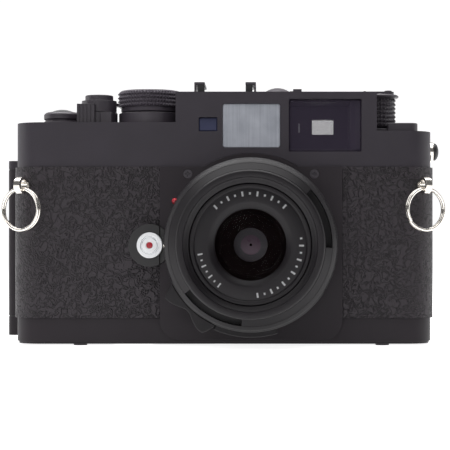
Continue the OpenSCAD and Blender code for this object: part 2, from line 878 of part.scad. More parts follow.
module focus_tab() {
    color("#242226") {
        difference() {
            translate([lens_x, flange_y - 4.6, lens_z]) rotate([90, 0, 0]) linear_extrude(5.4)
                polygon([[0, 0],
                    for (a = [tab_a0:1.5:tab_a1]) tab_r(a) * [cos(a), sin(a)]]);
            disc(focus_r, 0, 20);
        }
        sector(focus_r, 29, tab_a1, 287, 4.6, 6.6);
    }
}

// Optical block: slides in the base and carries the aperture ring and the front rim.
module lens_barrel() {
    color("#1b1a1d") difference() {
        union() {
            disc(19.84, -4, 14);
            disc(23.4, 12.9, 15.6);
            disc(21.0, 15, 24.2);
        }
        turned([[0, -9], [14, -9], [14, -1.2], [9, -1.2], [9, 13], [11, 13], [15, 25], [0, 25]]);
    }
}

module aperture_ring() {
    color("#242226") difference() {
        turned([[21.06, 15.9], [25.8, 15.9], [26.3, 16.5], [26.3, 20.5], [23.4, 23.7],
            [21.06, 23.7]]);
        for (a = [[-2, 42], [217, 263.5]]) sector(22.9, 24.9, a[0], a[1], 18, 30);
    }
}

module filter_ring() {
    color("#1b1a1d") turned([[18.7, 24.2], [21.0, 24.2], [21.0, 24.0], [22.3, 24.0], [22.6, 24.6],
        [22.5, lens_len - 0.5], [22.0, lens_len], [20.3, lens_len], [20.2, lens_len - 0.7],
        [filter_r, lens_len - 1.0], [filter_r, lens_len - 3.6], [18.7, lens_len - 3.9]]);
}

module name_ring() {
    color("#28262a") turned([[10.9, 24.2], [18.6, 24.2], [18.6, 26.0], [17.1, 26.0], [16.9, 25.7],
        [12.7, 25.6], [10.9, 24.6]]);
}

module lens_elements() {
    color("lightblue") {
        intersection() {
            translate([lens_x, flange_y - 23.4 + 26, lens_z]) sphere(r = 28);
            disc(10.7, 19, 30);
        }
        disc(8.9, -1, 1.9);
        disc(8.9, 4, 7);
    }
}

module iris_blades() {
    color("#55505a") difference() {
        disc(8.9, 9.6, 10.2);
        disc(2.6, 8, 12);
    }
}

module release_button() {
    color("white") difference() {
        union() {
            facing(-17.9, -15.6) translate([button_x, button_z]) circle(button_r);
            facing(-15.8, -11.5) translate([button_x, button_z]) circle(1.5);
        }
        facing(-18.5, -17.5) difference() {
            translate([button_x, button_z]) circle(2.85);
            translate([button_x, button_z]) circle(2.45);
        }
        facing(-18.5, -17.5) translate([button_x, button_z]) circle(1.0);
    }
}

casting_centre();
casting_takeup();
casting_sprocket();
casting_cassette();
top_cover();
bottom_cover();
body_leather();
front_panel();
cover_screws();
mount_ring();
mount_index();
release_bezel();
clear_windows();
frameline_window();
finder_tunnel();
eyepiece_ring();
accessory_shoe();
counter_bezel();
release_post();
dial_base();
rewind_base();
sync_socket();
strap_lugs();
tripod_socket();
shutter_frame();
hinge_pin();
rewind_bush();
lens_base();
advance_lever();
lever_tip();
counter_disc();
shutter_button();
power_switch();
speed_dial();
rewind_shaft();
rewind_knob();
rewind_crank();
crank_handle();
selector_lever();
release_button();
focus_ring();
focus_tab();
lens_barrel();
aperture_ring();
filter_ring();
name_ring();
lens_elements();
iris_blades();
back_door();
door_leather();
thumb_rest();
pressure_plate();
takeup_spool();
sprocket_shaft();
rewind_release();
battery_cover();
strap_ring_left();
strap_ring_right();
curtain_upper();
curtain_lower();
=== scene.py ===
"""Looks of the rangefinder camera: detailed pieces, materials, light and the camera's view.

Lengths in this script are millimetres in the row's frame, unless a name ends in _m.
"""

import json
import math

import bmesh
import bpy
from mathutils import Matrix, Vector


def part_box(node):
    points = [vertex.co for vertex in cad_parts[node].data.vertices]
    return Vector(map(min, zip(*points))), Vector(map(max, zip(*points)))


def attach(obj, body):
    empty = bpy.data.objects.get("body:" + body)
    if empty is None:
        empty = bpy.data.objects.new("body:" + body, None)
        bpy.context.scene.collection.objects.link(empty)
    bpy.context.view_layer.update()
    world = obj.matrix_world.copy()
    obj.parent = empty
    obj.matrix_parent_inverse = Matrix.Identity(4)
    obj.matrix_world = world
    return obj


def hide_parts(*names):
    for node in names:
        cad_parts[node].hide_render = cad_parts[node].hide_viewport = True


MM = 0.001

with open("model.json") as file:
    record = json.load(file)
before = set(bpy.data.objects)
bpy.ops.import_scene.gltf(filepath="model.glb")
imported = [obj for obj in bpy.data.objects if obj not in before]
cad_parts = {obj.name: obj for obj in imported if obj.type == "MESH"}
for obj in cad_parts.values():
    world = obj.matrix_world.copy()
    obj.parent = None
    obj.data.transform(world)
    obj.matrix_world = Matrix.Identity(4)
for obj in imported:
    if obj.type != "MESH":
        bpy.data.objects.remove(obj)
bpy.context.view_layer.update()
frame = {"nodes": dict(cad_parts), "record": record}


def node_box(node):
    """A CAD node's lowest and highest corners, in millimetres."""
    low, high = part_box(node)
    return Vector(low) / MM, Vector(high) / MM


def middle(node):
    low, high = node_box(node)
    return (low + high) / 2


# ---- places taken from the frame --------------------------------------------------------

LENS = middle("name_ring")
LENS_X, LENS_Z = LENS.x, LENS.z
FLANGE_Y = node_box("mount_ring")[0].y
DIAL = middle("speed_dial")
COUNTER = middle("counter_bezel")
REWIND = middle("rewind_knob")
BUTTON = middle("release_button")
LUG_TURN = math.radians(25)
HOUSING_TOP = node_box("accessory_shoe")[0].z
BACK_Y = node_box("door_leather")[1].y

FULL = 2 * math.pi


# ---- materials --------------------------------------------------------------------------


class Nodes:
    """A short way to build a material's node tree."""

    def __init__(self, name):
        self.material = bpy.data.materials.new(name)
        self.material.use_nodes = True
        self.tree = self.material.node_tree
        self.shader = self.tree.nodes["Principled BSDF"]
        self.place = self.add("ShaderNodeTexCoord").outputs["Object"]

    def add(self, kind, **settings):
        node = self.tree.nodes.new(kind)
        for key, value in settings.items():
            if hasattr(node, key):
                setattr(node, key, value)
            else:
                node.inputs[key.replace("_", " ")].default_value = value
        return node

    def link(self, source, target):
        self.tree.links.new(source, target)

    def set(self, **values):
        for key, value in values.items():
            self.shader.inputs[key.replace("_", " ")].default_value = value

    def noise(self, size_mm, detail=3.0, stretch=None):
        """Noise whose features are about size_mm across."""
        node = self.add("ShaderNodeTexNoise", Scale=1.0 / (size_mm * MM), Detail=detail)
        self.link(self.stretched(stretch), node.inputs["Vector"])
        return node.outputs["Fac"]

    def stretched(self, stretch):
        if stretch is None:
            return self.place
        node = self.add("ShaderNodeMapping", vector_type="TEXTURE")
        node.inputs["Scale"].default_value = stretch
        self.link(self.place, node.inputs["Vector"])
        return node.outputs["Vector"]

    def ramp(self, source, low, high, start=0.3, end=0.7):
        """Maps a factor to a range of numbers or colours."""
        if isinstance(low, (int, float)):
            node = self.add("ShaderNodeMapRange")
            values = (start, end, low, high)
            names = ("From Min", "From Max", "To Min", "To Max")
            for name, value in zip(names, values):
                node.inputs[name].default_value = value
            self.link(source, node.inputs["Value"])
            return node.outputs["Result"]
        node = self.add("ShaderNodeValToRGB")
        points = node.color_ramp.elements
        points[0].position, points[1].position = start, end
        points[0].color = (*low, 1)
        points[1].color = (*high, 1)
        self.link(source, node.inputs["Fac"])
        return node.outputs["Color"]

    def sum(self, a, b, share=0.5):
        """A weighted sum of two factors."""
        node = self.add("ShaderNodeMix")
        node.inputs["Factor"].default_value = share
        self.link(a, node.inputs["A"])
        self.link(b, node.inputs["B"])
        return node.outputs["Result"]

    def bump(self, height, depth_mm, strength=1.0):
        node = self.add("ShaderNodeBump", Strength=strength, Distance=depth_mm * MM)
        self.link(height, node.inputs["Height"])
        self.link(node.outputs["Normal"], self.shader.inputs["Normal"])


def shade(colour, by):
    return tuple(c * by for c in colour)


def painted(name, colour, rough=0.5, grain=0.16, depth=0.012, spread=0.12, metal=0.0,
            shine=0.5):
    """Paint or anodising with a fine grain, faint patches and uneven gloss."""
    n = Nodes(name)
    patches = n.noise(14, 4)
    fine = n.noise(grain, 2)
    n.link(n.ramp(patches, shade(colour, 1 - spread), shade(colour, 1 + spread)),
           n.shader.inputs["Base Color"])
    mixed = n.sum(patches, fine, 0.5)
    n.link(n.ramp(mixed, rough - 0.07, rough + 0.07), n.shader.inputs["Roughness"])
    n.bump(fine, depth)
    n.set(Metallic=metal, Specular_IOR_Level=shine)
    return n.material


def turned_metal(name, colour, rough=0.4, pitch=0.12, depth=0.004, centre=(0, 0), axis="Y"):
    """Black anodised metal with the fine rings that a lathe leaves round an axis."""
    n = Nodes(name)
    split = n.add("ShaderNodeSeparateXYZ")
    n.link(n.place, split.inputs["Vector"])
    join = n.add("ShaderNodeCombineXYZ")
    others = ("X", "Z") if axis == "Y" else ("X", "Y")
    for out, at, to in zip(others, centre, ("X", "Y")):
        less = n.add("ShaderNodeMath", operation="SUBTRACT")
        less.inputs[1].default_value = at * MM
        n.link(split.outputs[out], less.inputs[0])
        n.link(less.outputs[0], join.inputs[to])
    far = n.add("ShaderNodeVectorMath", operation="LENGTH")
    n.link(join.outputs[0], far.inputs[0])
    row = n.add("ShaderNodeMath", operation="MULTIPLY_ADD")
    row.inputs[1].default_value = 1.0
    n.link(far.outputs["Value"], row.inputs[0])
    n.link(split.outputs[axis], row.inputs[2])
    rings = n.add("ShaderNodeTexNoise", noise_dimensions="1D", Scale=1 / (pitch * MM), Detail=2.0)
    n.link(row.outputs[0], rings.inputs["W"])
    patches = n.noise(9, 3)
    n.link(n.ramp(patches, shade(colour, 0.88), shade(colour, 1.12)),
           n.shader.inputs["Base Color"])
    mixed = n.sum(rings.outputs["Fac"], patches, 0.5)
    n.link(n.ramp(mixed, rough - 0.06, rough + 0.08), n.shader.inputs["Roughness"])
    n.bump(rings.outputs["Fac"], depth)
    n.set(Specular_IOR_Level=0.3)
    return n.material


def leatherette(name, colour):
    """Leathercloth with short, winding creases, its colour darker along the creases as painted shade,
    and otherwise little change of colour.
    """
    n = Nodes(name)
    folds = n.add("ShaderNodeTexNoise", Scale=1 / (2.0 * MM), Detail=2.0, Distortion=1.0)
    n.link(n.place, folds.inputs["Vector"])
    centred = n.add("ShaderNodeMath", operation="SUBTRACT")
    centred.inputs[1].default_value = 0.5
    n.link(folds.outputs["Fac"], centred.inputs[0])
    crease = n.add("ShaderNodeMath", operation="ABSOLUTE")
    n.link(centred.outputs[0], crease.inputs[0])
    grain = n.ramp(crease.outputs[0], 0.0, 1.0, 0.0, 0.075)
    height = n.sum(grain, n.noise(0.35, 2), 0.2)
    # painted shade: the base colour is darker along the creases, mixed with a slow random change of
    # tone
    n.link(n.ramp(n.sum(grain, n.noise(24, 3), 0.4), shade(colour, 0.55), shade(colour, 1.3)),
           n.shader.inputs["Base Color"])
    n.link(n.ramp(height, 0.6, 0.48, 0.2, 0.9), n.shader.inputs["Roughness"])
    n.bump(height, 0.4, 1.0)
    n.set(Specular_IOR_Level=0.45)
    return n.material


def bright_metal(name, colour, rough=0.16, wear=0.1, scratch=0.004):
    """Plated or brushed metal with faint scratches."""
    n = Nodes(name)
    lines = n.noise(0.5, 4, (1, 1, 0.08))
    cloud = n.noise(3.5, 3)
    n.link(n.ramp(cloud, shade(colour, 0.93), colour), n.shader.inputs["Base Color"])
    n.link(n.ramp(n.sum(lines, cloud, 0.5), rough, rough + wear), n.shader.inputs["Roughness"])
    n.bump(lines, scratch)
    n.set(Metallic=1.0)
    return n.material


def frosted_glass(name):
    """Ground glass with fine upright ribs, lit from in front."""
    n = Nodes(name)
    ribs = n.noise(0.5, 2, (1, 1, 40))
    cloud = n.noise(5, 3)
    tone = n.sum(ribs, cloud, 0.55)
    n.link(n.ramp(tone, (0.52, 0.55, 0.63), (0.76, 0.79, 0.88)),
           n.shader.inputs["Base Color"])
    n.link(n.ramp(ribs, 0.35, 0.5), n.shader.inputs["Roughness"])
    n.bump(ribs, 0.03)
    n.set(Coat_Weight=0.4, Coat_Roughness=0.08)
    return n.material


def see_through(name, colour, alpha, rough=0.04, spread=0.03, specular=0.5):
    """A thin coated glass: a tint that lets light through."""
    n = Nodes(name)
    smear = n.noise(6, 3, (1, 1, 0.4))
    n.link(n.ramp(smear, shade(colour, 1 - spread), shade(colour, 1 + spread)),
           n.shader.inputs["Base Color"])
    n.link(n.ramp(smear, rough, rough + 0.03), n.shader.inputs["Roughness"])
    n.set(Alpha=alpha, Specular_IOR_Level=specular)
    return n.material


def paper(name):
    """The white of the studio's floor and wall."""
    n = Nodes(name)
    cloud = n.noise(300, 2)
    n.link(n.ramp(cloud, (0.9, 0.9, 0.9), (0.93, 0.93, 0.93)), n.shader.inputs["Base Color"])
    n.set(Roughness=0.9, Emission_Color=(1, 1, 1, 1), Emission_Strength=0.85,
          Specular_IOR_Level=0.1)
    return n.material


MAT = {
    "cover": painted("cover_enamel", (0.044, 0.0365, 0.0485), 0.5, shine=0.4),
    # the lower parts' paint is the cover's paint at about half its brightness: painted shade for the
    # light that falls off towards the foot of the body
    "lower": painted("cover_enamel_painted_shade", (0.020, 0.0145, 0.0195), 0.55, shine=0.35),
    "leather": leatherette("leathercloth", (0.027, 0.0205, 0.0265)),
    "casting": painted("cast_alloy", (0.11, 0.11, 0.115), 0.55, 0.5, 0.03, metal=0.4),
    "control": painted("black_chrome", (0.066, 0.056, 0.070), 0.38, 0.1, 0.006),
    "lens": turned_metal("lens_anodised", (0.009, 0.0068, 0.0094), 0.42,
                         centre=(LENS_X, LENS_Z)),
    "dial": turned_metal("dial_anodised", (0.105, 0.090, 0.112), 0.36,
                         centre=(DIAL.x, DIAL.y), axis="Z"),
    "plastic": painted("moulded_black", (0.012, 0.011, 0.0125), 0.45, 0.3, 0.01),
    "inner": painted("flat_black", (0.003, 0.0008, 0.001), 0.8, 0.4, 0.004, shine=0.08),
    "tunnel": painted("finder_black", (0.085, 0.066, 0.098), 0.6, 0.4, 0.002, 0.04),
    # painted highlight: the pale paint of the finder's bevel strips stands in for light catching the
    # bevel
    "strip": painted("finder_bevel_painted_highlight", (0.085, 0.072, 0.09), 0.4, 0.4, 0.01),
    "chrome": bright_metal("plated_chrome", (0.86, 0.82, 0.77), 0.12),
    "steel": bright_metal("brushed_steel", (0.56, 0.55, 0.54), 0.28, 0.14, 0.01),
    "button": painted("satin_white", (0.97, 0.98, 1.0), 0.45, 0.3, 0.006, 0.0, 0.55),
    "blade": bright_metal("blued_steel", (0.22, 0.21, 0.23), 0.35, 0.12),
    "iris": painted("iris_grey", (0.16, 0.145, 0.17), 0.45, 1.5, 0.0008, 0.06),
    # painted reflection: this purple stands in for the coating's reflection, not a colour of the
    # glass
    "coating": painted("coating_painted_reflection", (0.26, 0.15, 0.23), 0.3, 3.0, 0.0008, 0.08),
    "red": painted("red_enamel", (0.78, 0.045, 0.07), 0.22, 0.4, 0.004),
    "white": painted("engraving_white", (0.86, 0.86, 0.88), 0.5, 0.2, 0.004, 0.03),
    "glass": see_through("finder_glass", (0.115, 0.092, 0.150), 0.35),
    "eye_glass": see_through("eyepiece_glass", (0.7, 0.72, 0.75), 0.15),
    "rf_glass": see_through("rangefinder_glass", (0.105, 0.115, 0.215), 0.93, 0.08),
    "dome": see_through("counter_glass", (0.02, 0.02, 0.024), 0.97),
    "front_glass": see_through("lens_glass", (0.006, 0.001, 0.002), 0.12, 0.02, 0.1, 0.1),
    "frosted": frosted_glass("ground_glass"),
    "paper": paper("studio_white"),
}


# ---- mesh helpers -----------------------------------------------------------------------


def make_piece(bm, name, body, material, replaces=(), smooth=35, moulded=0.0):
    """Turns a bmesh in millimetres into a piece that rides on a body."""
    bmesh.ops.remove_doubles(bm, verts=bm.verts, dist=1e-4)
    bmesh.ops.recalc_face_normals(bm, faces=bm.faces)
    bmesh.ops.scale(bm, vec=(MM, MM, MM), verts=bm.verts)
    limit = math.radians(smooth)
    for face in bm.faces:
        face.smooth = smooth > 0
    for edge in bm.edges:
        edge.smooth = len(edge.link_faces) != 2 or edge.calc_face_angle(0) < limit
    mesh = bpy.data.meshes.new(name)
    bm.to_mesh(mesh)
    bm.free()
    piece = bpy.data.objects.new(name, mesh)
    bpy.context.scene.collection.objects.link(piece)
    mesh.materials.append(MAT[material])
    if moulded:
        soften(piece, moulded)
    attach(piece, body)
    if replaces:
        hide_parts(*([replaces] if isinstance(replaces, str) else replaces))
    return piece


def soften(piece, width, segments=3, weighted=False):
    """Rounds a piece's sharp edges."""
    mod = piece.modifiers.new("edges", "BEVEL")
    mod.width = width * MM
    mod.segments = segments
    mod.limit_method = "WEIGHT" if weighted else "ANGLE"
    mod.angle_limit = math.radians(28)
    mod.use_clamp_overlap = True
    mod.harden_normals = True


def refined(node, width, material, edge_width=None, name=None, segments=3):
    """A CAD node's own shape with its flat faces joined and its edges rounded.

    edge_width gives an edge's radius from its middle point and its two ends, where the
    edges of one piece differ.
    """
    bm = bmesh.new()
    bm.from_mesh(frame["nodes"][node].data)
    bmesh.ops.scale(bm, vec=(1 / MM,) * 3, verts=bm.verts)
    bmesh.ops.remove_doubles(bm, verts=bm.verts, dist=1e-3)
    bmesh.ops.dissolve_limit(bm, angle_limit=math.radians(0.4), verts=bm.verts,
                             edges=bm.edges, use_dissolve_boundaries=False)
    if edge_width:
        layer = bm.edges.layers.float.new("bevel_weight_edge")
        for edge in bm.edges:
            if len(edge.link_faces) == 2 and edge.calc_face_angle(0) > math.radians(28):
                a, b = (v.co for v in edge.verts)
                edge[layer] = min(1.0, edge_width((a + b) / 2, a, b) / width)
    piece = make_piece(bm, name or node + "_finished", owner(node), material, node,
                       smooth=28)
    soften(piece, width, segments, bool(edge_width))
    return piece


def owner(node):
    """The body that a CAD node belongs to."""
    for body, members in frame["record"]["behaviour"]["bodies"].items():
        if node in members:
            return body
    raise ValueError(node)


def rounded(points, radius, steps=3):
    """A closed profile with its corners turned into arcs."""
    out = []
    for i, corner in enumerate(points):
        here = Vector(corner)
        before = Vector(points[i - 1]) - here
        after = Vector(points[(i + 1) % len(points)]) - here
        if here.x < 1e-6:
            out.append(here)
            continue
        cut = min(radius, before.length * 0.45, after.length * 0.45)
        a = here + before.normalized() * cut
        b = here + after.normalized() * cut
        for step in range(steps + 1):
            t = step / steps
            out.append(a * (1 - t) ** 2 + here * 2 * t * (1 - t) + b * t * t)
    return out


def on_lens(radius, ahead, angle):
    """A point about the lens axis, at a distance ahead of the flange."""
    return Vector((LENS_X + radius * math.cos(angle), FLANGE_Y - ahead,
                   LENS_Z + radius * math.sin(angle)))


def about(x, y):
    """Makes points about an upright axis, from radius, height and angle."""
    return lambda r, h, a: Vector((x + r * math.cos(a), y + r * math.sin(a), h))


def lathe(profile, place, segments=192, shape=None, closed=True):
    """Revolves a profile of radius and height. shape may move a point by its angle."""
    bm = bmesh.new()
    rings = []
    for k in range(segments):
        angle = FULL * k / segments
        ring = []
        for r, h in profile:
            if shape:
                r, h = shape(r, h, angle)
            ring.append(bm.verts.new(place(r, h, angle)))
        rings.append(ring)
    count = len(profile)
    for k, ring in enumerate(rings):
        following = rings[(k + 1) % segments]
        for i in range(count if closed else count - 1):
            j = (i + 1) % count
            if profile[i][0] < 1e-6 and profile[j][0] < 1e-6:
                continue
            corners = [ring[i], ring[j], following[j], following[i]]
            if profile[i][0] < 1e-6:
                corners = [ring[i], ring[j], following[j]]
            elif profile[j][0] < 1e-6:
                corners = [ring[i], ring[j], following[i]]
            bm.faces.new(corners)
    return bm


def box_into(bm, low, high):
    """Adds a box between two corners."""
    spots = [Vector((x, y, z)) for x in (low[0], high[0]) for y in (low[1], high[1])
             for z in (low[2], high[2])]
    v = [bm.verts.new(s) for s in spots]
    for face in ((0, 1, 3, 2), (4, 6, 7, 5), (0, 4, 5, 1), (2, 3, 7, 6), (0, 2, 6, 4),
                 (1, 5, 7, 3)):
        bm.faces.new([v[i] for i in face])
    return v


def plate_into(bm, outline, lift, drop):
    """Adds a prism from an outline: lift and drop turn a 2-D point into its two ends."""
    top = [bm.verts.new(lift(p)) for p in outline]
    foot = [bm.verts.new(drop(p)) for p in outline]
    bm.faces.new(top)
    bm.faces.new(list(reversed(foot)))
    for i in range(len(outline)):
        j = (i + 1) % len(outline)
        bm.faces.new([top[i], foot[i], foot[j], top[j]])


def round_pane(x0, x1, z0, z1, r, steps=5):
    """The outline of a rectangle with rounded corners."""
    out = []
    for cx, cz, start in ((x1 - r, z1 - r, 0), (x0 + r, z1 - r, 90), (x0 + r, z0 + r, 180),
                          (x1 - r, z0 + r, 270)):
        for k in range(steps + 1):
            a = math.radians(start + 90 * k / steps)
            out.append((cx + r * math.cos(a), cz + r * math.sin(a)))
    return out


def knurl_rows(radius, depth, low, high, rows, points):
    """Rings of a pyramid knurl, from the foot up, each a list of radii and a height."""
    rings = []
    pitch = (high - low) / rows
    for row in range(rows):
        rings.append((low + row * pitch, [radius - depth] * (2 * points)))
        peak = [radius if k % 2 == 0 else radius - depth for k in range(2 * points)]
        rings.append((low + (row + 0.5) * pitch, peak))
    rings.append((high, [radius - depth] * (2 * points)))
    return rings


def knurled_knob(place, rings, foot, head):
    """A knob: a lathe profile below and above rings of knurl. Profiles are lists of (r, h)."""
    bm = bmesh.new()
    count = len(rings[0][1])
    levels = [[(r, h) for _ in range(count)] for r, h in foot]
    levels += [[(r, h) for r in radii] for h, radii in rings]
    levels += [[(r, h) for _ in range(count)] for r, h in head]
    grid = [[bm.verts.new(place(r, h, FULL * k / count)) for k, (r, h) in enumerate(level)]
            for level in levels]
    for low, high in zip(grid, grid[1:]):
        for k in range(count):
            j = (k + 1) % count
            if k % 2 == 0:
                bm.faces.new([low[k], low[j], high[k]])
                bm.faces.new([low[j], high[j], high[k]])
            else:
                bm.faces.new([low[k], low[j], high[j]])
                bm.faces.new([low[k], high[j], high[k]])
    bm.faces.new(list(reversed(grid[0])))
    bm.faces.new(grid[-1])
    return bm


def written(text, size, place, name, body, material="white", depth=0.06):
    """A numeral, cut as thin solid strokes. place turns its 2-D points and a depth into space."""
    curve = bpy.data.curves.new(name, "FONT")
    curve.body = text
    curve.size = size
    curve.align_x = "CENTER"
    curve.align_y = "CENTER"
    curve.resolution_u = 3
    curve.extrude = depth / 2
    temp = bpy.data.objects.new(name + "_curve", curve)
    bpy.context.scene.collection.objects.link(temp)
    shown = temp.evaluated_get(bpy.context.evaluated_depsgraph_get())
    mesh = bpy.data.meshes.new_from_object(shown)
    bm = bmesh.new()
    bm.from_mesh(mesh)
    for v in bm.verts:
        v.co = place(v.co.x, v.co.y, v.co.z)
    bpy.data.objects.remove(temp)
    bpy.data.meshes.remove(mesh)
    bpy.data.curves.remove(curve)
    return make_piece(bm, name, body, material, smooth=30)


# ---- CAD pieces with their edges finished -------------------------------------------------

COVER_LOW, COVER_HIGH = node_box("top_cover")
LEFT_TOP = node_box("power_switch")[0].z - 0.2
RIGHT_TOP = node_box("rewind_base")[0].z
HOUSING_L, HOUSING_R = -15.3, 49.1
COVER_EDGE = 1.35
FINE_EDGE = 0.22


def cover_edge(mid, a, b):
    """Radius of an edge of the top cover: the outer top edges are well rounded."""
    level = abs(a.z - b.z) < 0.01
    outside = (mid.y < COVER_LOW.y + 0.05 or mid.y > COVER_HIGH.y - 0.05
               or abs(mid.x) > 58 and abs(mid.z - 64) > 3)
    on_top = any(abs(mid.z - z) < 0.02 for z in (LEFT_TOP, RIGHT_TOP, HOUSING_TOP))
    at_end = any(abs(mid.x - x) < 0.02 for x in (HOUSING_L, HOUSING_R))
    if level and on_top and (outside or at_end and mid.z > HOUSING_TOP - 0.1):
        return COVER_EDGE
    if at_end and not level and mid.y < COVER_LOW.y + 0.05:
        return 0.6
    return FINE_EDGE


def base_edge(mid, a, b):
    """Radius of an edge of the bottom cover."""
    outline = mid.y < -12.7 or mid.y > 13.7 or abs(mid.x) > 57
    return 0.45 if outline and mid.z < 1 else 0.15


refined("top_cover", COVER_EDGE, "cover", cover_edge, segments=4)
refined("bottom_cover", 0.45, "lower", base_edge)
FINISHED = {
    "front_panel": (0.2, "lower"), "accessory_shoe": (0.18, "control"),
    "advance_lever": (0.22, "control"), "lever_tip": (0.7, "plastic"),
    "power_switch": (0.14, "control"), "selector_lever": (0.2, "control"),
    "rewind_base": (0.45, "control"), "release_bezel": (0.25, "plastic"),
    "thumb_rest": (0.7, "plastic"), "back_door": (0.25, "lower"),
    "strap_lugs": (0.28, "chrome"), "eyepiece_ring": (0.3, "plastic"),
    "battery_cover": (0.2, "steel"), "mount_ring": (0.15, "chrome"),
    "lens_base": (0.2, "lens"), "focus_tab": (0.35, "lens"), "lens_barrel": (0.12, "lens"),
    "cover_screws": (0.1, "control"), "rewind_crank": (0.2, "control"),
    "crank_handle": (0.18, "control"), "shutter_button": (0.35, "control"),
    "dial_base": (0.3, "control"), "release_button": (0.22, "button"),
    "body_leather": (0.12, "leather"), "door_leather": (0.12, "leather"),
    "frameline_window": (0.3, "frosted"),
    "rewind_release": (0.3, "steel"), "tripod_socket": (0.2, "steel"),
    "sprocket_shaft": (0.15, "steel"), "takeup_spool": (0.2, "plastic"),
    "pressure_plate": (0.25, "inner"), "rewind_shaft": (0.1, "steel"),
}
for node, (width, material) in FINISHED.items():
    refined(node, width, material)

PLAIN = {
    "casting_centre": "casting", "casting_takeup": "casting", "casting_sprocket": "casting",
    "casting_cassette": "casting", "finder_tunnel": "tunnel", "release_post": "steel",
    "shutter_frame": "inner", "hinge_pin": "steel", "rewind_bush": "steel",
    "counter_disc": "white", "curtain_upper": "blade", "curtain_lower": "blade",
}
for node, material in PLAIN.items():
    mesh = frame["nodes"][node].data
    mesh.materials.clear()
    mesh.materials.append(MAT[material])


# ---- lens -------------------------------------------------------------------------------

FOCUS_R = 27.2
APERTURE_R = 26.3


def ribbed(spans, depth, pitch, radius):
    """A shape function that cuts ribs into the widest part of a ring, between angles."""
    def shape(r, h, angle):
        degrees = math.degrees(angle)
        degrees = degrees if degrees < 250 else degrees - 360
        inside = any(a < degrees < b for a, b in spans)
        if inside and r > radius - 0.35 and math.sin(angle * radius / pitch * FULL) > 0:
            return r - depth, h
        return r, h
    return shape


focus_profile = rounded([(22.16, 3.7), (26.4, 3.7), (FOCUS_R, 4.3), (FOCUS_R, 11.4),
                         (26.6, 12.2), (22.16, 12.2)], 0.25)
make_piece(lathe(focus_profile, on_lens, 1080,
                 ribbed(((-34, 32), (148, 205)), 0.3, 0.75, FOCUS_R)),
           "focus_ring_ribbed", "focus_ring", "lens", "focus_ring", smooth=32)


def pocket(angle):
    """How deep the crescent cuts are at an angle on the aperture ring's face, 0 to 1."""
    degrees = math.degrees(angle)
    degrees = degrees if degrees < 300 else degrees - 360
    for a, b in ((-2, 42), (217, 263.5)):
        if a <= degrees <= b:
            return 1.0
    return 0.0


def aperture_shape(r, h, angle):
    """Sinks the ring's front face where the crescent cuts are, and cuts the grip's ribs."""
    degrees = math.degrees(angle)
    degrees = degrees if degrees < 300 else degrees - 360
    if 4 < degrees < 38 and r > APERTURE_R - 0.4 and h < 20.6:
        if math.sin(angle * APERTURE_R / 0.9 * FULL) > 0:
            return r - 0.35, h
    return r, h


aperture_profile = [(21.06, 15.9)] + rounded(
    [(25.8, 15.9), (APERTURE_R, 16.5), (APERTURE_R, 20.5), (24.9, 22.06)], 0.3)[1:-1]
aperture_profile += [(24.9, 22.06), (24.9, 22.05), (22.9, 23.69), (22.9, 23.7), (21.06, 23.7)]


def cut_shape(r, h, angle):
    """The two rows of points at the crescent cuts drop to the pocket's floor."""
    r, h = aperture_shape(r, h, angle)
    if pocket(angle) and h in (22.05, 23.69):
        return r, 18.0
    return r, h


make_piece(lathe(aperture_profile, on_lens, 1080, cut_shape), "aperture_ring_ribbed",
           "aperture_ring", "lens", "aperture_ring", smooth=32)

RIM = 29.8
filter_profile = rounded(
    [(18.7, 24.2), (21.0, 24.2), (21.0, 24.0), (22.3, 24.0), (22.6, 24.6), (22.5, RIM - 0.5),
     (22.0, RIM), (20.3, RIM), (20.2, RIM - 0.7), (19.5, RIM - 1.0)], 0.12, 2)
for k in range(9):
    filter_profile += [Vector((19.5, RIM - 1.05 - 0.28 * k)), Vector((19.72, RIM - 1.19 - 0.28 * k))]
filter_profile += [Vector((19.5, 26.2)), Vector((18.7, 25.9))]
make_piece(lathe(filter_profile, on_lens, 240), "filter_rim", "lens_barrel", "lens",
           "filter_ring", smooth=24)

name_profile = rounded([(10.9, 24.2), (18.6, 24.2), (18.6, 25.8), (18.3, 26.0), (17.4, 26.0),
                        (17.1, 25.72), (16.9, 25.55), (16.86, 25.7), (12.9, 25.62),
                        (12.7, 25.55), (12.45, 25.5), (10.9, 24.6)], 0.08, 2)
make_piece(lathe(name_profile, on_lens, 240), "name_ring_turned", "lens_barrel", "lens",
           "name_ring", smooth=24)


def arc_mark(bm, r0, r1, a0, a1, h0, h1):
    """A curved bar on the name ring, between two radii and two angles in degrees."""
    steps = 3
    outline = [(r0, a0 + (a1 - a0) * k / steps) for k in range(steps + 1)]
    outline += [(r1, a1 - (a1 - a0) * k / steps) for k in range(steps + 1)]
    plate_into(bm, outline, lambda p: on_lens(p[0], h1, math.radians(p[1])),
               lambda p: on_lens(p[0], h0, math.radians(p[1])))


def marks(spans):
    """Plain upright bars round the name ring, in place of its lettering."""
    bm = bmesh.new()
    for start, stop, count in spans:
        pitch = (stop - start) / (count - 0.5)
        for k in range(count):
            a = start + pitch * k
            short = 0.4 if k % 2 else 0.0
            arc_mark(bm, 14.7 + short, 16.2 - short, a, a + pitch * 0.26, 25.6, 25.72)
    return bm


make_piece(marks(((47, 136, 11), (-83, 10, 12), (190, 235, 7))), "name_ring_marks",
           "lens_barrel", "white", smooth=30)

# the ring that holds the front glass, black inside, and the stop in front of the iris
stop_profile = rounded([(5.2, 15.0), (9.9, 17.2), (9.9, 17.6), (5.2, 15.3)], 0.05, 1)
make_piece(lathe(stop_profile, on_lens, 128), "front_stop", "lens_barrel", "inner",
           smooth=30)
retainer = rounded([(9.6, 17.35), (10.82, 22.2), (10.82, 24.1), (10.7, 24.1), (10.66, 22.4),
                    (9.4, 17.6)], 0.05, 1)
make_piece(lathe(retainer, on_lens, 128), "front_retainer", "lens_barrel", "inner",
           smooth=30)

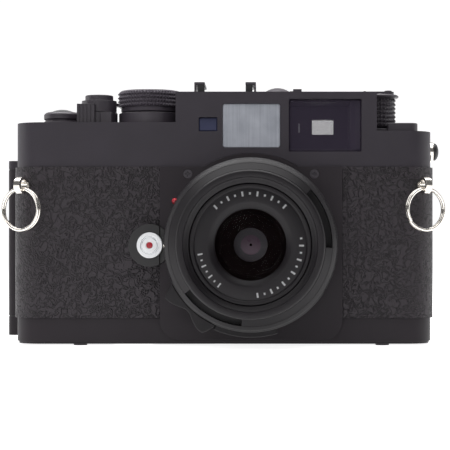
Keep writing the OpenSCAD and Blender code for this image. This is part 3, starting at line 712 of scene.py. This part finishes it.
# front element and the rear groups
dome = [(0.0, 25.4)]
for k in range(1, 13):
    r = 10.62 * k / 12
    dome.append((r, 25.4 - (28 - math.sqrt(28 ** 2 - r ** 2))))
dome += [(10.62, 22.5), (6.0, 21.0), (0.0, 20.4)]
glass_bm = lathe(dome, on_lens, 128)
make_piece(glass_bm, "front_element", "lens_barrel", "front_glass", "lens_elements",
           smooth=40)
for name, h0, h1 in (("rear_element", -1.0, 1.9), ("middle_element", 4.0, 7.0)):
    make_piece(lathe([(0.0, h0), (8.85, h0 + 0.4), (8.85, h1 - 0.4), (0.0, h1)], on_lens, 96),
               name, "lens_barrel", "front_glass", smooth=40)

# iris blades round the opening, and the coated group seen through it, whose purple is a painted
# reflection of the coating
BLADES = 10
iris = bmesh.new()
for k in range(BLADES):
    a0 = FULL * k / BLADES
    lift = 0.05 * (k % 2)
    outline = []
    for i in range(7):
        outline.append((8.85, a0 + FULL / BLADES * 1.25 * i / 6))
    for i in range(7):
        t = 1 - i / 6
        outline.append((2.6 + 0.35 * math.sin(math.pi * t), a0 + FULL / BLADES * (1.55 * t + 0.3)))
    plate_into(iris, outline, lambda p, h=9.9 + lift: on_lens(p[0], h, p[1]),
               lambda p, h=9.86 + lift: on_lens(p[0], h, p[1]))
make_piece(iris, "iris_leaves", "aperture_ring", "iris", "iris_blades", smooth=20)
make_piece(lathe(rounded([(0.0, 10.6), (3.1, 10.3), (3.1, 10.1), (0.0, 10.1)], 0.02, 1),
                 on_lens, 96),
           "coated_group_painted_reflection", "aperture_ring", "coating", smooth=40)
# painted reflection: a small black disk for the dark centre of the coating's reflection
make_piece(lathe([(0.0, 10.75), (0.42, 10.7), (0.42, 10.5), (0.0, 10.5)], on_lens, 32),
           "pupil_painted_reflection", "aperture_ring", "inner", smooth=40)

# ball of the lens index, as round as a bead
INDEX = middle("mount_index")
bead = bmesh.new()
bmesh.ops.create_uvsphere(bead, u_segments=32, v_segments=20, radius=1.0)
front = node_box("mount_index")[0].y
bmesh.ops.translate(bead, vec=(INDEX.x, front + 1.0, INDEX.z), verts=bead.verts)
make_piece(bead, "index_bead", "camera_body", "red", "mount_index", smooth=60)


# ---- lens release -----------------------------------------------------------------------

def on_button(r, ahead, angle):
    return Vector((BUTTON.x + r * math.cos(angle), node_box("release_button")[0].y - ahead,
                   BUTTON.z + r * math.sin(angle)))


make_piece(lathe(rounded([(0.0, 0.0), (0.95, 0.0), (0.95, -0.35), (0.0, -0.35)], 0.08, 2),
                 on_button, 48),
           "button_dot", "release_button", "red", smooth=40)
catch = bmesh.new()
box_into(catch, (BUTTON.x + 4.25, -17.2, BUTTON.z - 0.8), (BUTTON.x + 4.75, -16.7, BUTTON.z + 0.3))
make_piece(catch, "button_catch", "camera_body", "chrome", smooth=30,
           moulded=0.12)


# ---- finder -----------------------------------------------------------------------------

PANE_FRONT, PANE_BACK = -12.7, -11.62


def glazing(name, x0, x1, z0, z1, y0, y1, r, material, chamfer=0.35, replaces=()):
    """A pane with a bevelled front edge."""
    bm = bmesh.new()
    rings = []
    for inset, y in ((0.0, y1), (0.0, y0 + chamfer), (chamfer, y0)):
        outline = round_pane(x0 + inset, x1 - inset, z0 + inset, z1 - inset,
                             max(r - inset, 0.05))
        rings.append([bm.verts.new((x, y, z)) for x, z in outline])
    count = len(rings[0])
    for a, b in zip(rings, rings[1:]):
        for i in range(count):
            bm.faces.new([a[i], a[(i + 1) % count], b[(i + 1) % count], b[i]])
    bm.faces.new(rings[0])
    bm.faces.new(rings[-1])
    return make_piece(bm, name, "camera_body", material, replaces, smooth=20)


glazing("finder_front_glass", 20.95, 44.15, 61.55, 78.35, PANE_FRONT, PANE_BACK, 0.45, "glass",
        0.5, "clear_windows")
glazing("rangefinder_glass", -7.85, -1.95, 68.05, 72.45, PANE_FRONT, PANE_BACK, 0.35,
        "rf_glass")
# painted highlight: pale strips standing in for the light that the finder's front bevel catches, at
# its right and its foot
strips = bmesh.new()
box_into(strips, (42.3, -11.4, 61.9), (43.9, -11.1, 78.0))
box_into(strips, (21.2, -11.4, 61.85), (43.9, -11.1, 62.45))
make_piece(strips, "finder_edge_painted_highlight", "camera_body", "strip", smooth=30)
# painted glint: a white bar standing in for a glint of light in a slit inside the finder
slit = bmesh.new()
box_into(slit, (24.05, -8.95, 67.9), (24.55, -8.75, 70.8))
make_piece(slit, "frame_slit_painted_glint", "camera_body", "white", smooth=30)

EYE = middle("eyepiece_ring")

# dome over the frame counter
DOME_RISE = 5.3
COUNTER_TOP = LEFT_TOP + DOME_RISE


def on_counter(r, h, angle):
    return about(COUNTER.x, COUNTER.y)(r, h, angle)


bezel_low, bezel_high = node_box("counter_bezel")
BEZEL_R = (bezel_high.x - bezel_low.x) / 2
BEZEL_TOP = bezel_high.z
DOME_R = 8.5
bezel_profile = rounded(
    [(4.05, LEFT_TOP - 2), (4.55, LEFT_TOP - 2), (4.55, LEFT_TOP), (BEZEL_R, LEFT_TOP),
     (BEZEL_R, LEFT_TOP + 1.1), (BEZEL_R - 0.45, LEFT_TOP + 1.3),
     (BEZEL_R - 0.45, LEFT_TOP + 1.7), (BEZEL_R, LEFT_TOP + 1.9), (BEZEL_R, BEZEL_TOP - 0.7),
     (BEZEL_R - 0.8, BEZEL_TOP), (4.05, BEZEL_TOP)], 0.25, 3)
make_piece(lathe(bezel_profile, on_counter, 96), "counter_rim", "camera_body", "control",
           "counter_bezel", smooth=30)
cap = [(0.0, COUNTER_TOP)]
for k in range(1, 9):
    r = 3.94 * k / 8
    cap.append((r, COUNTER_TOP - DOME_R + math.sqrt(DOME_R ** 2 - r ** 2)))
cap += [(3.94, BEZEL_TOP - 1.6), (0.0, BEZEL_TOP - 1.6)]
make_piece(lathe(cap, on_counter, 96), "counter_dome", "camera_body", "dome",
           smooth=50)


# ---- controls ---------------------------------------------------------------------------

dial_low, dial_high = node_box("speed_dial")
on_dial = about(DIAL.x, DIAL.y)
DIAL_R = (dial_high.x - dial_low.x) / 2
rows = knurl_rows(DIAL_R, 0.55, dial_low.z + 1.65, dial_high.z - 0.45, 4, 60)
foot = [(2.6, dial_low.z), (9.2, dial_low.z), (9.5, dial_low.z + 0.25), (9.5, dial_low.z + 1.55),
        (10.0, dial_low.z + 1.6)]
head = [(9.7, dial_high.z - 0.1), (9.5, dial_high.z), (7.6, dial_high.z), (7.4, dial_high.z - 0.12),
        (3.2, dial_high.z - 0.12), (3.0, dial_high.z - 0.3), (1.5, dial_high.z - 0.3)]
make_piece(knurled_knob(on_dial, rows, foot, head), "speed_dial_knurled", "speed_dial", "dial",
           "speed_dial", smooth=26)
SPEEDS = ("B", "1", "2", "4", "8", "15", "30", "60", "125", "250", "500", "1000")
for k, word in enumerate(SPEEDS):
    turn = math.radians(-90 + 30 * k)
    top = dial_high.z - 0.09

    def at(u, v, w, turn=turn, top=top):
        radial = 5.9 + v
        out = Vector((math.cos(turn), math.sin(turn), 0))
        side = Vector((-math.sin(turn), math.cos(turn), 0))
        return Vector((DIAL.x, DIAL.y, top + w)) + out * radial + side * u * -1

    written(word, 1.5 if len(word) < 4 else 1.25, at, "speed_" + word, "speed_dial")

knob_low, knob_high = node_box("rewind_knob")
on_rewind = about(REWIND.x, REWIND.y)
KNOB_R = 5.95
CAP_R = (knob_high.x - knob_low.x) / 2
rows = knurl_rows(KNOB_R, 0.5, knob_low.z + 0.5, knob_high.z - 1.15, 7, 30)
foot = [(2.1, knob_low.z), (4.9, knob_low.z)]
head = [(5.4, knob_high.z - 1.02), (CAP_R - 0.3, knob_high.z - 1.0), (CAP_R, knob_high.z - 0.8),
        (CAP_R, knob_high.z - 0.3), (CAP_R - 0.35, knob_high.z), (0.4, knob_high.z)]
make_piece(knurled_knob(on_rewind, rows, foot, head), "rewind_knob_knurled", "rewind_spindle",
           "control", "rewind_knob", smooth=26)


# ---- stops in the accessory shoe, and washers in the hinge ------------------------------

SHOE = middle("accessory_shoe")
SHOE_FRONT = node_box("accessory_shoe")[0].y
stops = bmesh.new()
for side in (-1, 1):
    x0, x1 = sorted((SHOE.x + side * 6.6, SHOE.x + side * 8.8))
    box_into(stops, (x0, SHOE_FRONT + 0.1, HOUSING_TOP + 0.42),
             (x1, SHOE_FRONT + 1.3, HOUSING_TOP + 2.58))
make_piece(stops, "shoe_stops", "camera_body", "plastic", smooth=30,
           moulded=0.12)

PIN = middle("hinge_pin")
DOOR_LOW, DOOR_HIGH = node_box("back_door")
for name, low in (("hinge_washer_low", DOOR_LOW.z - 0.28), ("hinge_washer_high", DOOR_HIGH.z + 0.02)):
    ring = rounded([(0.85, low), (1.95, low), (1.95, low + 0.26), (0.85, low + 0.26)], 0.05, 1)
    make_piece(lathe(ring, about(PIN.x, PIN.y), 48), name, "camera_body", "plastic",
               smooth=30)


# ---- flash socket -----------------------------------------------------------------------

SOCKET = middle("sync_socket")
SOCKET_X = node_box("sync_socket")[1].x - 4.3


def on_socket(r, h, angle):
    return Vector((SOCKET_X + h, SOCKET.y + r * math.cos(angle), SOCKET.z + r * math.sin(angle)))


make_piece(lathe(rounded([(0.0, -2.0), (2.35, -2.0), (2.35, 1.0), (3.3, 1.0), (3.3, 2.35),
                          (0.0, 2.35)], 0.15, 2), on_socket, 96),
           "sync_ring", "camera_body", "chrome", "sync_socket", smooth=30)
cap = [(0.0, 2.4), (2.6, 2.4), (2.85, 2.75)]
for k in range(1, 8):
    a = math.radians(90) * k / 8
    cap.append((2.85 * math.cos(a), 2.85 + 1.4 * math.sin(a)))
cap.append((0.0, 4.28))
make_piece(lathe(cap, on_socket, 96), "sync_cap_dome", "camera_body", "plastic",
           smooth=50)


# ---- split rings ------------------------------------------------------------------------

RING_R, WIRE_R = 6.6, 0.49


def split_ring(side):
    """Two turns of wire, from one cut end to the other."""
    node = "strap_ring_right" if side > 0 else "strap_ring_left"
    centre = middle(node)
    turn = side * LUG_TURN
    along = Vector((math.cos(turn), math.sin(turn), 0))
    through = Vector((math.sin(turn), -math.cos(turn), 0))
    up = Vector((0, 0, 1))
    bm = bmesh.new()
    steps, around = 192, 16
    start = math.radians(215)
    last = None
    for k in range(steps + 1):
        t = 2 * k / steps
        angle = start + FULL * t
        slide = max(-0.5, min(0.5, (t - 1) / 0.09 * 0.5))
        radial = along * math.cos(angle) + up * math.sin(angle)
        spot = centre + radial * RING_R + through * slide
        ring = []
        for i in range(around):
            w = FULL * i / around
            ring.append(bm.verts.new(spot + (radial * math.cos(w) + through * math.sin(w)) * WIRE_R))
        if last:
            for i in range(around):
                j = (i + 1) % around
                bm.faces.new([last[i], last[j], ring[j], ring[i]])
        else:
            bm.faces.new(list(reversed(ring)))
        last = ring
    bm.faces.new(last)
    make_piece(bm, node + "_wound", node, "chrome", node, smooth=40)


split_ring(-1)
split_ring(1)


# ---- back -------------------------------------------------------------------------------

bm = bmesh.new()
plate_into(bm, round_pane(REWIND.x - 2.9, REWIND.x + 2.9, 20.1, 41.9, 1.9),
           lambda p: Vector((p[0], BACK_Y - 1.4, p[1])), lambda p: Vector((p[0], BACK_Y - 0.7, p[1])))
make_piece(bm, "film_window", "back_door", "dome", smooth=30)
bm = bmesh.new()
plate_into(bm, round_pane(EYE.x - 3.65, EYE.x + 3.65, EYE.z - 2.55, EYE.z + 2.55, 0.45),
           lambda p: Vector((p[0], 13.0, p[1])), lambda p: Vector((p[0], 13.8, p[1])))
make_piece(bm, "eyepiece_glass", "camera_body", "eye_glass", smooth=30)


# ---- stage, light and camera ------------------------------------------------------------

FLOOR_Z = node_box("cover_screws")[0].z
FLOOR_REACH = 9000.0
WALL_Y = 3000.0
WALL_BEND = 400.0
CAMERA_Y = -540.0


def cyclorama():
    """A pale floor that curves up into a wall behind."""
    bm = bmesh.new()
    profile = [(-FLOOR_REACH, FLOOR_Z), (WALL_Y, FLOOR_Z)]
    for k in range(1, 13):
        a = math.radians(90) * k / 12
        profile.append((WALL_Y + WALL_BEND * math.sin(a),
                        FLOOR_Z + WALL_BEND - WALL_BEND * math.cos(a)))
    profile.append((WALL_Y + WALL_BEND, 4000.0))
    rows = [[bm.verts.new((x, y, z)) for x in (-FLOOR_REACH, FLOOR_REACH)]
            for y, z in profile]
    for a, b in zip(rows, rows[1:]):
        face = bm.faces.new([a[0], a[1], b[1], b[0]])
        face.smooth = True
    bmesh.ops.scale(bm, vec=(MM, MM, MM), verts=bm.verts)
    mesh = bpy.data.meshes.new("cyclorama")
    bm.to_mesh(mesh)
    bm.free()
    obj = bpy.data.objects.new("cyclorama", mesh)
    bpy.context.scene.collection.objects.link(obj)
    mesh.materials.append(MAT["paper"])
    obj.visible_diffuse = False


cyclorama()


def softbox(name, spot, aim, size, power, colour=(1, 1, 1)):
    """A rectangular area light, in millimetres and watts."""
    light = bpy.data.lights.new(name, "AREA")
    light.shape = "RECTANGLE"
    light.size, light.size_y = size[0] * MM, size[1] * MM
    light.energy = power
    light.color = colour
    obj = bpy.data.objects.new(name, light)
    bpy.context.scene.collection.objects.link(obj)
    obj.location = Vector(spot) * MM
    obj.rotation_euler = (Vector(aim) - Vector(spot)).to_track_quat("-Z", "Y").to_euler()
    return obj


softbox("overhead", (-60, -120, 620), (0, 0, 50), (900, 500), 2.6)
softbox("front_fill", (-420, -900, 560), (0, 0, 45), (700, 450), 1.9)
softbox("axis_fill", (-70, -600, -5), (LENS_X, 0, LENS_Z), (60, 60), 0.12)
softbox("left_edge", (-620, 60, 200), (-50, 0, 45), (200, 500), 0.6)
softbox("right_edge", (620, 60, 200), (50, 0, 45), (200, 500), 0.4)
softbox("backdrop_light", (0, 250, 1000), (0, 900, 250), (1500, 300), 14)

world = bpy.data.worlds.new("studio")
bpy.context.scene.world = world
world.use_nodes = True
world.node_tree.nodes["Background"].inputs["Color"].default_value = (1, 1, 1, 1)
world.node_tree.nodes["Background"].inputs["Strength"].default_value = 0.14

camera_data = bpy.data.cameras.new("camera")
camera_data.lens = 131.8
camera_data.sensor_width = 36
camera_data.shift_x = -0.0902
camera_data.shift_y = 0.0613
camera_data.clip_end = 10
camera = bpy.data.objects.new("camera", camera_data)
bpy.context.scene.collection.objects.link(camera)
camera.location = Vector((LENS_X + 4.6, CAMERA_Y, LENS_Z - 2.4)) * MM
camera.rotation_euler = (math.radians(90), 0, 0)
bpy.context.scene.camera = camera

view = bpy.context.scene.view_settings
view.view_transform = "Standard"
view.look = "None"
